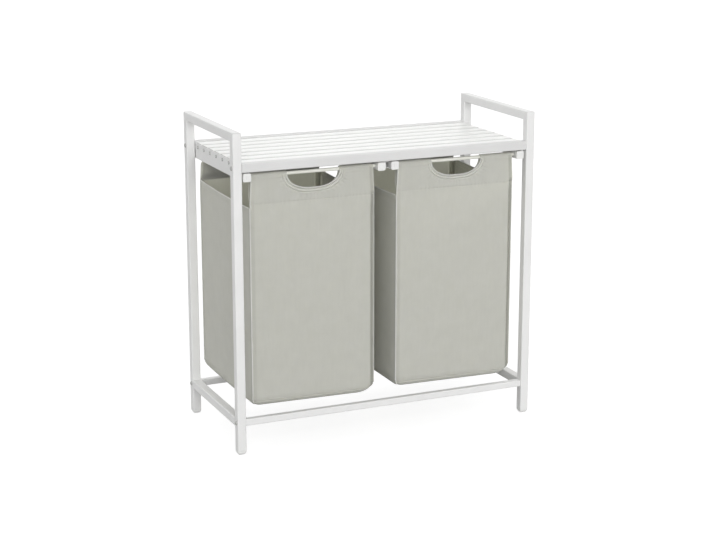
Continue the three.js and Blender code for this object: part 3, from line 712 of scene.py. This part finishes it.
def panel_columns(bag, panel):
    """Columns of a panel from its one ridge to its other."""
    half = bag.half if panel in HEMMED else bag.depth / 2
    start, end = (CORNERS[sign] for sign in PANEL_ENDS[panel])
    low, high = start.radius - half, half - end.radius
    if panel == PANEL_FRONT:
        flat = [-place for place in reversed(front_places(-low)[1:])] + front_places(high)
    else:
        flat = spread(low, high, BACK_COLUMNS if panel == PANEL_BACK else SIDE_COLUMNS)
    local = [(-half - x, y, start.cloth - length) for x, y, length in reversed(start.path)]
    for place in flat:
        local.append((place, 0.0, min(place - low + start.cloth, high - place + end.cloth)))
    local += [(half + x, y, end.cloth - length) for x, y, length in end.path]
    columns = []
    for along, inward, tip in local:
        x, y = {
            PANEL_FRONT: (along, bag.front + inward),
            PANEL_RIGHT: (bag.half - inward, bag.centre + along),
            PANEL_BACK: (-along, bag.back - inward),
            PANEL_LEFT: (-bag.half + inward, bag.centre - along),
        }[panel]
        columns.append(Column(x, y, tip, along / half))
    return columns


def column_at(columns, tip):
    """The place of a panel at a length of cloth from the ridge where its columns start."""
    for near, far in zip(columns, columns[1:]):
        if near.tip <= tip <= far.tip:
            share = (tip - near.tip) / (far.tip - near.tip)
            return Column(*(a + (b - a) * share for a, b in zip(near, far)))


def facing_at(columns, tip, outward):
    """The way that a panel faces at a length of cloth from the ridge where its columns start."""
    here = column_at(columns, tip)
    beside = column_at(columns, tip + BESIDE)
    slope = Vector((beside.x - here.x, beside.y - here.y, 0))
    facing = slope.cross(Vector((0, 0, 1))).normalized()
    return -facing if facing.dot(outward) < 0 else facing


def edge_painted_light(column):
    """Painted light of a panel at a place along its width: a painted highlight on the sewn ridges.
    Below 0, painted shade beside them."""
    sign = sign_of(column.x)
    ridge = peak(column.tip, HIGHLIGHT_WIDTH)
    corner_shade = CORNER_SHADE[sign] * smooth((CORNER_SHADE_WIDTH - column.tip) / CORNER_SHADE_FADE)
    return CORNER_HIGHLIGHT[sign] * ridge - corner_shade * (1 - ridge)


def wall_relief(bag, panel, column, z):
    """How far a panel stands out of its plane."""
    x, y, tip, share = column
    top = bag.wall_top(panel, y)
    level = clamp((z - bag.bottom) / (bag.rim - bag.bottom))
    bulge = HEMMED_BULGE if panel in HEMMED else SIDE_BULGE
    height = (1 - share * share) * math.sin(math.pi * level) * bulge
    for size, depth, fade in WALL_WAVES:
        height += bag.uneven(x, y, z, size, depth) * smooth(tip / fade)
    height -= DART_DEPTHS[sign_of(x)] * peak(tip - DART_PLACE, DART_WIDTH)
    if panel not in HEMMED:
        waver = CREASE_WAVER * bag.uneven(x, y, z, CREASE_WAVER_SIZE, 1)
        slant = (tip + CREASE_SLOPE * (top - z)) / CREASE_PITCH + waver
        crease = CREASE_DEPTH * math.sin(2 * math.pi * slant)
        crease *= peak(tip - CREASE_INSET, CREASE_REACH)
        height += crease * peak(top - z - CREASE_DROP, CREASE_REACH)
    return height


def rim_relief(drop):
    """How far a side panel stands out below its rim, where its edge is turned in and sewn."""
    fold = RIM_FOLD * smooth((RIM_BAND + RIM_FOLD_STEP / 2 - drop) / RIM_FOLD_STEP)
    return fold - RIM_SEAM_SINK * peak(drop - RIM_SEAM, RIM_SEAM_WIDTH)


def wall_point(bag, panel, column, z):
    """A point of a panel between the turned bottom edge and the rims."""
    foot = bag.bottom_at(column.x, column.y) + FOOT_HEIGHT
    top = bag.wall_top(panel, column.y)
    out = wall_relief(bag, panel, column, z) * smooth((z - foot) / WALL_FOOT_FADE)
    out *= smooth((top - z) / WALL_TOP_FADE)
    if panel not in HEMMED:
        out += rim_relief(top - z) * smooth((column.tip - RIM_FOLD_START) / RIM_FOLD_FADE)
    return bag.placed(column.x, column.y, z) + OUTWARD[panel] * out


def add_walls(bag, sheet):
    """The floor, the turned bottom edge and the four panels up to their rims or hems."""
    ring = [(panel, column) for panel in range(4) for column in panel_columns(bag, panel)[:-1]]
    inset = 1 - BAND_PROFILE[0][0] / bag.half
    middle_level = bag.bottom_at(0, bag.centre)
    rows = []
    for scale in spread(0, 1, FLOOR_RINGS)[:-1]:
        row = []
        for panel, column in ring:
            y = bag.centre + (column.y - bag.centre) * scale * inset
            level = bag.bottom_at(column.x, column.y) * scale + middle_level * (1 - scale)
            row.append((bag.placed(column.x * scale * inset, y, level), 0.0))
        rows.append(row)
    for inside, height in BAND_PROFILE:
        row = []
        for panel, column in ring:
            level = bag.bottom_at(column.x, column.y) + height
            y = bag.centre + (column.y - bag.centre) * (1 - 2 * inside / bag.depth)
            point = bag.placed(column.x * (1 - inside / bag.half), y, level)
            painted_lightness = edge_painted_light(column) * min(1, height / BAND_PAINTED_LIGHT_HEIGHT)
            # Painted shade darkens the turned bottom edge, apart from the ridges
            if height < BOTTOM_SHADE_TOP:
                painted_lightness -= BOTTOM_SHADE * (1 - peak(column.tip, HIGHLIGHT_WIDTH))
            row.append((point, painted_lightness))
        rows.append(row)
    # Shares of the way up to the first of the rows at the rim, and from there to the rim
    lifts = [(share, 0) for share in spread(0, 1, WALL_ROWS)[1:]]
    lifts += [(1, 1 - drop / RIM_ROWS[0]) for drop in RIM_ROWS[1:]]
    for share, rest in lifts:
        row = []
        for panel, column in ring:
            low = bag.bottom_at(column.x, column.y) + FOOT_HEIGHT
            high = bag.wall_top(panel, column.y) - RIM_ROWS[0]
            level = low + share * (high - low) + rest * RIM_ROWS[0]
            row.append((wall_point(bag, panel, column, level), edge_painted_light(column)))
        rows.append(row)
    sheet.grid(rows, closed=True)


def hem_relief(bag, panel, x, z):
    """How far the outer ply of a hem stands out: the seam below it, and the notch's rim."""
    from_seam = z - bag.seam
    waver = PUCKER_WAVER * bag.uneven(x, 0, 0, PUCKER_WAVER_SIZE, 1)
    pucker = PUCKER_DEPTH * math.sin(2 * math.pi * x / PUCKER_PITCH + waver)
    height = pucker * peak(from_seam, PUCKER_REACH)
    height -= HEM_SEAM_SINK * peak(from_seam, HEM_SEAM_WIDTH)
    wave = bag.uneven(x, HEM_WAVE_PLACE, z, HEM_WAVE_SIZE, HEM_WAVE_DEPTH)
    height += wave * smooth(from_seam / HEM_WAVE_FADE)
    height += ROD_LINE_RISE * peak(z - (bag.rod_level - ROD_LINE_DROP), ROD_LINE_WIDTH)
    if panel == PANEL_FRONT:
        away, along = notch_distance(bag, x, z)
        height += NOTCH_FOLD * smooth((NOTCH_BAND - away) / NOTCH_FOLD_STEP)
        height += LIP_RISE * peak(away - LIP_PLACE, LIP_WIDTH)
        for seam in NOTCH_SEAMS:
            height -= NOTCH_SEAM_SINK * peak(away - seam, NOTCH_SEAM_WIDTH)
        waver = RIPPLE_WAVER * bag.uneven(x, RIPPLE_WAVER_PLACE, z, RIPPLE_WAVER_SIZE, 1)
        ripple = RIPPLE_DEPTH * math.sin(2 * math.pi * along / RIPPLE_PITCH + waver)
        ripple *= peak(away - RIPPLE_PLACE, RIPPLE_REACH)
        height += ripple * smooth((away - RIPPLE_START) / RIPPLE_FADE)
    return height * smooth((bag.rod_level - z) / HEM_TOP_FADE)


def hem_point(bag, panel, column, z):
    """A point of a hem's outer ply: bent round the corners at the rims, and flat further up."""
    above = z - bag.wall_top(panel, column.y)
    y = column.y + (bag.plane(panel) - column.y) * smooth(above / HEM_FLATTENS)
    out = hem_relief(bag, panel, column.x, z) * smooth(above / HEM_FOOT_FADE)
    return bag.placed(column.x, y, z) + OUTWARD[panel] * out


def hem_painted_light(bag, panel, column, z):
    """Painted light on the outer ply of a hem: a painted highlight, most on the lip of the notch
    and on the ridges.
    """
    painted_lightness = edge_painted_light(column) * (1 - HEM_PAINTED_LIGHT_LOSS * smooth((z - bag.rim) / HEM_FLATTENS))
    if panel == PANEL_FRONT:
        away, along = notch_distance(bag, column.x, z)
        lip = LIP_HIGHLIGHT * peak(away, LIP_HIGHLIGHT_WIDTH)
        painted_lightness += max(lip, FOLD_HIGHLIGHT * peak(away - FOLD_HIGHLIGHT_PLACE, FOLD_HIGHLIGHT_WIDTH))
    return painted_lightness


def add_hem(bag, panel, sheet):
    """A hem: its outer ply, the turn over the rod and its inner ply, down to the seam."""
    columns = panel_columns(bag, panel)
    inward = -OUTWARD[panel]
    plane = bag.plane(panel)
    start = bag.wall_top(panel, plane)
    notched = panel == PANEL_FRONT

    def cut(column):
        return notched and abs(column.x) < NOTCH_HALF - WELD

    def top_of(column):
        return notch_level(bag, column.x) if cut(column) else bag.rod_level

    rows = []
    for share in spread(0, 1, FRONT_HEM_ROWS if notched else BACK_HEM_ROWS):
        levels = [start + share * (top_of(column) - start) for column in columns]
        rows.append([
            (hem_point(bag, panel, column, z), hem_painted_light(bag, panel, column, z))
            for column, z in zip(columns, levels)
        ])
    sheet.grid(rows)

    left_ear = [column for column in columns if column.x < 0 and not cut(column)]
    right_ear = [column for column in columns if column.x >= 0 and not cut(column)]
    for ear in (left_ear, right_ear) if notched else (columns,):
        rows = []
        for angle in spread(0, math.pi, SLEEVE_ROWS):
            depth = bag.sleeve * (1 - math.cos(angle))
            lift = Vector((0, 0, bag.sleeve * math.sin(angle)))
            rows.append([
                (bag.placed(column.x, plane, bag.rod_level) + inward * depth + lift, 0.0)
                for column in ear
            ])
        sheet.grid(rows)

    rows = []
    for share in spread(0, 1, INNER_PLY_ROWS):
        row = []
        for column in columns:
            high = top_of(column)
            z = high + share * (bag.seam - high)
            near = smooth((z - bag.seam) / HEM_CLOSURE)
            if notched:
                away, along = notch_distance(bag, column.x, z)
                climb = (z - bag.notch_bottom) / bag.notch_rise
                near *= 1 - peak(max(0, away), NOTCH_CLOSURE) * (1 - smooth(climb))
            depth = HEM_FOOT + (2 * bag.sleeve - HEM_FOOT) * near
            row.append((bag.placed(column.x, plane, z) + inward * depth, 0.0))
        rows.append(row)
    sheet.grid(rows)


def notch_path(bag, away, top):
    """Points of the front hem along a line outside the rim of the notch, below a level."""
    return [
        hem_point(bag, PANEL_FRONT, Column(x, bag.front, 1, 0), z)
        for x, z in notch_places(bag, away) if z < top
    ]


def add_bead(sheet, path, outward, thick, high, painted_lightness):
    """A rounded edge along a path, with half its thickness through the cloth and along it."""
    rings = []
    for index, point in enumerate(path):
        ahead = path[min(index + 1, len(path) - 1)] - path[max(index - 1, 0)]
        upward = outward.cross(ahead).normalized()
        rings.append([
            point + outward * (thick * math.cos(angle)) + upward * (high * math.sin(angle))
            for angle in round_turn(BEAD_SIDES)
        ])
    sheet.tube(rings, painted_lightness)


def add_bindings(bag, sheet):
    """Rounded edges along the side rims and round the notch."""
    for panel in (PANEL_LEFT, PANEL_RIGHT):
        inside = OUTWARD[panel] * (CLOTH / 2 - RIM_FOLD)
        columns = [column for column in panel_columns(bag, panel) if column.tip > BEAD_START]
        path = [
            wall_point(bag, panel, column, bag.wall_top(panel, column.y)) - inside
            for column in columns
        ]
        add_bead(sheet, path, OUTWARD[panel], *RIM_BEAD)
    outward = OUTWARD[PANEL_FRONT]
    rim = notch_path(bag, 0, bag.rod_level - NOTCH_BEAD_END)
    add_bead(sheet, [point - outward * CLOTH / 2 for point in rim], outward, *NOTCH_BEAD)


def stitch(sheet, start, end, outward):
    """One stitch, whose ends dip into the cloth."""
    ahead = (end - start).normalized()
    aside = ahead.cross(outward).normalized()
    rings = []
    for share, size, rise in STITCH_PROFILE:
        centre = start + (end - start) * share + outward * (rise * STITCH_RADIUS)
        reach = size * STITCH_RADIUS
        rings.append([
            centre + aside * (reach * math.cos(angle)) + outward * (reach * math.sin(angle))
            for angle in round_turn(STITCH_SIDES)
        ])
    sheet.tube(rings)


def stitch_row(sheet, path, outward):
    """Stitches along a path on the cloth, whose outer side faces the given way."""
    lengths = [0.0]
    for near, far in zip(path, path[1:]):
        lengths.append(lengths[-1] + (far - near).length)

    def place(length):
        index = min(max(1, bisect.bisect(lengths, length)), len(path) - 1)
        span = lengths[index] - lengths[index - 1]
        return path[index - 1].lerp(path[index], (length - lengths[index - 1]) / span)

    count = int(lengths[-1] / STITCH_PITCH)
    for number in range(count):
        start = (number + 0.5) * lengths[-1] / count - STITCH_LENGTH / 2
        stitch(sheet, place(start), place(start + STITCH_LENGTH), outward)


def add_stitches(bag, sheet):
    """Stitches of the hems, the notch, the side rims, the bottom edge and the upright edges."""
    for seam in NOTCH_SEAMS:
        path = notch_path(bag, seam, bag.rod_level - NOTCH_ROW_END)
        stitch_row(sheet, path, OUTWARD[PANEL_FRONT])
    for panel in range(4):
        columns = panel_columns(bag, panel)
        inner = [column for column in columns if column.tip > ROW_START]
        outward = OUTWARD[panel]
        if panel in HEMMED:
            path = [hem_point(bag, panel, column, bag.seam) for column in inner]
        else:
            levels = [bag.wall_top(panel, column.y) - RIM_SEAM for column in inner]
            path = [wall_point(bag, panel, *place) for place in zip(inner, levels)]
        stitch_row(sheet, path, outward)
        levels = [bag.bottom_at(column.x, column.y) + BAND_SEAM for column in inner]
        path = [wall_point(bag, panel, *place) for place in zip(inner, levels)]
        stitch_row(sheet, path, outward)
        for ordered in (columns, columns[::-1]):
            dart = column_at(ordered, DART_PLACE)
            low = bag.bottom_at(dart.x, dart.y) + BAND_SEAM + UPRIGHT_START
            high = bag.wall_top(panel, dart.y) - UPRIGHT_END
            path = [wall_point(bag, panel, dart, z) for z in spread(low, high, UPRIGHT_STEPS)]
            stitch_row(sheet, path, facing_at(ordered, DART_PLACE, outward))


def dressed(piece, body, material):
    """The piece, with its material, on its body."""
    piece.data.materials.clear()
    piece.data.materials.append(material)
    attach(piece, body)
    return piece


def add_bag(side):
    """One bag: its cloth, the rounded edges of its rims and its stitches."""
    bag = Bag(side)
    sheet = Cloth()
    add_walls(bag, sheet)
    add_hem(bag, PANEL_FRONT, sheet)
    add_hem(bag, PANEL_BACK, sheet)
    cloth = finishes["grey_cloth"]
    shell = dressed(sheet.object(f"{bag.body}_bag_cloth", CLOTH), bag.body, cloth)
    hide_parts(f"{bag.body}_bag")
    bindings = Cloth()
    add_bindings(bag, bindings)
    dressed(bindings.object(f"{bag.body}_bag_bindings"), bag.body, cloth)
    stitches = Cloth()
    add_stitches(bag, stitches)
    dressed(stitches.object(f"{bag.body}_bag_stitches"), bag.body, finishes["thread"])


def add_screw_heads(side):
    """Domed heads with a cross recess, over those of the slat screws on one end plate."""
    post_low, post_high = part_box(f"post_front_{side}")
    outward = Vector((1 if side == "right" else -1, 0, 0))
    face = post_low.x if side == "right" else post_high.x
    heads = Cloth()
    for slat in sorted(name for name in nodes if name.startswith("slat_")):
        low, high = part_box(slat)
        centre = Vector((face, (low.y + high.y) / 2, (low.z + high.z) / 2))
        rings = []
        for share, height in HEAD_PROFILE:
            ring = []
            for angle in round_turn(HEAD_SIDES):
                arm = abs(math.sin(2 * angle)) * share * HEAD_RADIUS < RECESS_ARM
                sunk = RECESS_DEPTH if arm and share < RECESS_REACH_SHARE else 0
                y, z = math.cos(angle), math.sin(angle)
                spoke = Vector((0, y, z)) * share * HEAD_RADIUS
                ring.append(centre + spoke + outward * (height - sunk))
            rings.append(ring)
        heads.tube(rings)
    piece = heads.object(f"slat_screw_heads_{side}")
    dressed(piece, "frame", finishes["zinc_fastener"])


def add_camera():
    camera = bpy.data.objects.new("camera", bpy.data.cameras.new("camera"))
    camera.data.sensor_fit = "HORIZONTAL"
    camera.data.sensor_width = SENSOR_WIDTH
    camera.data.lens = CAMERA_LENS
    camera.data.clip_end = CAMERA_REACH
    camera.location = CAMERA_PLACE
    upright = math.radians(90 - CAMERA_TILT)
    camera.rotation_euler = (upright, math.radians(CAMERA_ROLL), math.radians(-CAMERA_TURN))
    bpy.context.scene.collection.objects.link(camera)
    bpy.context.scene.camera = camera


def seen(tree):
    """1 for rays of the camera, of reflections and of clear pieces, else 0."""
    path = tree.nodes.new("ShaderNodeLightPath")
    total = path.outputs["Is Camera Ray"]
    for name in ("Is Glossy Ray", "Is Transmission Ray"):
        either = tree.nodes.new("ShaderNodeMath")
        either.operation = "MAXIMUM"
        tree.links.new(total, either.inputs[0])
        tree.links.new(path.outputs[name], either.inputs[1])
        total = either.outputs[0]
    return total


def add_sky():
    """A sky that looks white, and lights the hamper less strongly."""
    world = bpy.data.worlds.new("sky")
    bpy.context.scene.world = world
    world.use_nodes = True
    tree = world.node_tree
    strength = tree.nodes.new("ShaderNodeMapRange")
    strength.inputs["To Min"].default_value = SKY_STRENGTH
    strength.inputs["To Max"].default_value = 1
    tree.links.new(seen(tree), strength.inputs["Value"])
    background = tree.nodes["Background"]
    background.inputs["Color"].default_value = (1, 1, 1, 1)
    tree.links.new(strength.outputs["Result"], background.inputs["Strength"])


def add_lamp(name, strength, turn, height, size):
    """A broad soft lamp, turned towards +X and as high as the given degrees."""
    lamp = bpy.data.lights.new(name, "SUN")
    lamp.energy = strength
    lamp.angle = math.radians(size)
    holder = bpy.data.objects.new(name, lamp)
    holder.rotation_euler = (math.radians(90 - height), 0, math.radians(turn))
    bpy.context.scene.collection.objects.link(holder)


def add_floor():
    """A pale floor that looks white to the camera and keeps the hamper's shadow."""
    half = FLOOR_SIZE / 2
    mesh = bpy.data.meshes.new("floor")
    corners = [(-half, -half, 0), (half, -half, 0), (half, half, 0), (-half, half, 0)]
    mesh.from_pydata(corners, [], [(0, 1, 2, 3)])
    floor = bpy.data.objects.new("floor", mesh)
    bpy.context.scene.collection.objects.link(floor)
    made = Surface("floor", (FLOOR_COLOUR, FLOOR_COLOUR, FLOOR_COLOUR, 1), 1)
    made.shader.inputs["Specular IOR Level"].default_value = 0
    made.shader.inputs["Emission Color"].default_value = (1, 1, 1, 1)
    glow = made.value("MULTIPLY", seen(made.tree), FLOOR_GLOW)
    made.link(glow, made.shader.inputs["Emission Strength"])
    mesh.materials.append(made.material)


add_camera()
add_sky()
add_lamp("key", *KEY_LAMP)
add_lamp("side", *SIDE_LAMP)
add_lamp("fill", *FILL_LAMP)
add_lamp("back", *BACK_LAMP)
add_floor()
dress_nodes()
for side in ("left", "right"):
    add_bag(side)
    add_screw_heads(side)

bpy.context.scene.view_settings.view_transform = "Standard"
